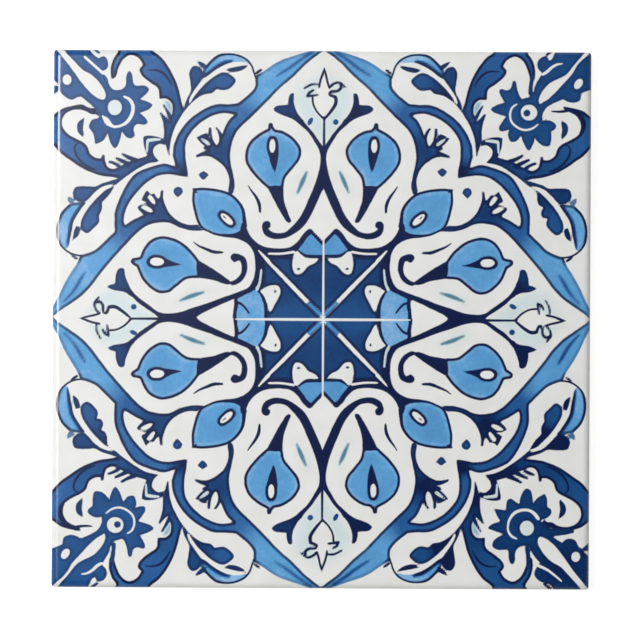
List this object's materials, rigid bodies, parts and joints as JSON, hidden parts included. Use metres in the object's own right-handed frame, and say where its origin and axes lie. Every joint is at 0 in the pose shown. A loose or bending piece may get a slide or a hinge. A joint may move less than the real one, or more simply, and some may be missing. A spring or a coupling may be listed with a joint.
{
  "type": "azulejo wall tile",
  "caption": "Square glazed ceramic wall tile with a blue and white painted face, rounded face edges and a back with shallow keying grooves for mortar.",
  "frame": {"origin": "centre of the back, in the plane that the tile rests or is bedded on", "axes": "+Z out of the painted face, +Y towards the top of the pattern as pictured, +X to its right"},
  "size_m": [0.1524, 0.1524, 0.008],
  "materials": {
    "glazed_face": "gloss glaze over a blue painted pattern, on a pale fired body"
  },
  "bodies": {
    "root": {"tile": "glazed_face"}
  },
  "joints": []
}
